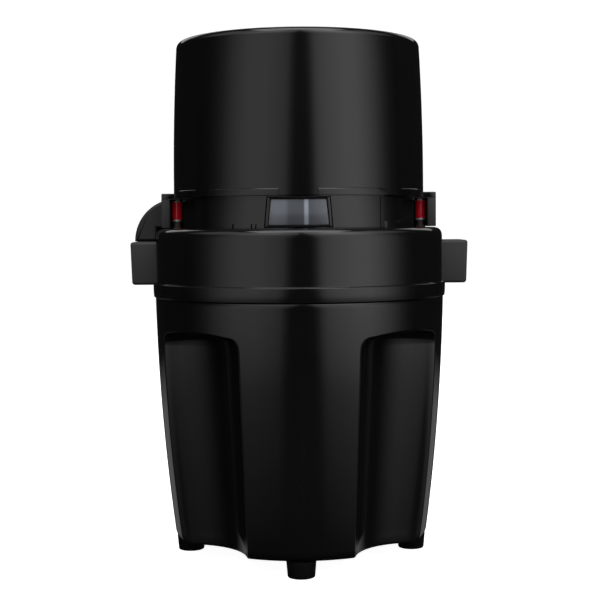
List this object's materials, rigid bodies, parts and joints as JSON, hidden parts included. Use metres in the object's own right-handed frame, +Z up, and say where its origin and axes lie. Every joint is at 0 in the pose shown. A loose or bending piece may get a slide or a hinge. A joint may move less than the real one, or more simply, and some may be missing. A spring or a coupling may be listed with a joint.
{
  "type": "electric food chopper",
  "caption": "Bottom-motor food chopper with a fluted tapered housing, side grips and a bell cover that is pressed down to run the blades in a steel bowl.",
  "frame": {"origin": "on the ground, under the motor shaft", "axes": "+Z up along the motor shaft, front with the window towards -Y, +X to the right seen from the front"},
  "size_m": [0.1654, 0.1452, 0.253],
  "materials": {
    "gloss_black": "high gloss",
    "matte_grey": "fine texture",
    "rubber": "matte",
    "steel": "brushed",
    "chrome": "polished",
    "red": "gloss",
    "pane": "smoky",
    "inner_plastic": "moulded",
    "hub_plastic": "moulded",
    "lamination": "stacked sheet",
    "copper": "enamelled wire",
    "bearing": "sintered",
    "carbon": "pressed",
    "alloy": "cast",
    "spring": "drawn wire",
    "screw": "plated"
  },
  "bodies": {
    "base": {"motor_housing": "gloss_black", "base_plate": "inner_plastic", "base_plate_screws": "screw", "rubber_feet": "rubber", "cord_gland": "rubber", "collar": "gloss_black", "collar_screws": "screw", "left_grip": "matte_grey", "right_grip": "matte_grey", "switch_housing": "matte_grey", "safety_switch": "inner_plastic", "plunger_guides": "inner_plastic", "return_springs": "spring", "yoke_retainer": "inner_plastic", "bowl": "steel", "shaft_seal": "rubber", "spindle_bush": "bearing", "stator_core": "lamination", "field_coils": "copper", "lower_bracket": "alloy", "upper_bracket": "alloy", "lower_bearing": "bearing", "upper_bearing": "steel", "brush_holders": "inner_plastic", "carbon_brushes": "carbon", "motor_dampers": "rubber", "motor_mount_screws": "screw", "motor_screws": "screw"},
    "plungers": {"plunger_yoke": "inner_plastic", "red_plungers": "red", "plunger_rings": "chrome"},
    "cover": {"bell_cover": "gloss_black", "skirt_ring": "gloss_black", "window_bezel": "gloss_black", "window_pane": "pane"},
    "rotor": {"motor_shaft": "steel", "armature_core": "lamination", "armature_windings": "copper", "commutator": "copper", "cooling_fan": "inner_plastic"},
    "blade": {"blade_hub": "hub_plastic", "lower_blade": "steel", "upper_blade": "steel"},
    "switch_button": {"switch_button": "hub_plastic"}
  },
  "joints": [
    {"name": "plunger_press", "type": "slide", "parent": "base", "child": "plungers", "axis": [0, 0, 1], "range_m": [-0.0025, 0], "stiffness_N_per_m": 2000, "springref_m": 0.003, "deforming": ["return_springs"]},
    {"name": "cover_lift", "type": "slide", "parent": "plungers", "child": "cover", "axis": [0, 0, 1], "range_m": [0, 0.095]},
    {"name": "motor_spin", "type": "hinge", "parent": "base", "child": "rotor", "pos_m": [0, 0, 0.056], "axis": [0, 0, 1], "continuous": true},
    {"name": "blade_spin", "type": "hinge", "parent": "base", "child": "blade", "pos_m": [0, 0, 0.165], "axis": [0, 0, 1], "continuous": true},
    {"name": "switch_press", "type": "slide", "parent": "base", "child": "switch_button", "axis": [0, 0, 1], "range_m": [-0.0025, 0]}
  ],
  "couplings": [
    {"joint": "blade_spin", "follows": "motor_spin", "ratio": 1},
    {"joint": "switch_press", "follows": "plunger_press", "ratio": 1}
  ]
}
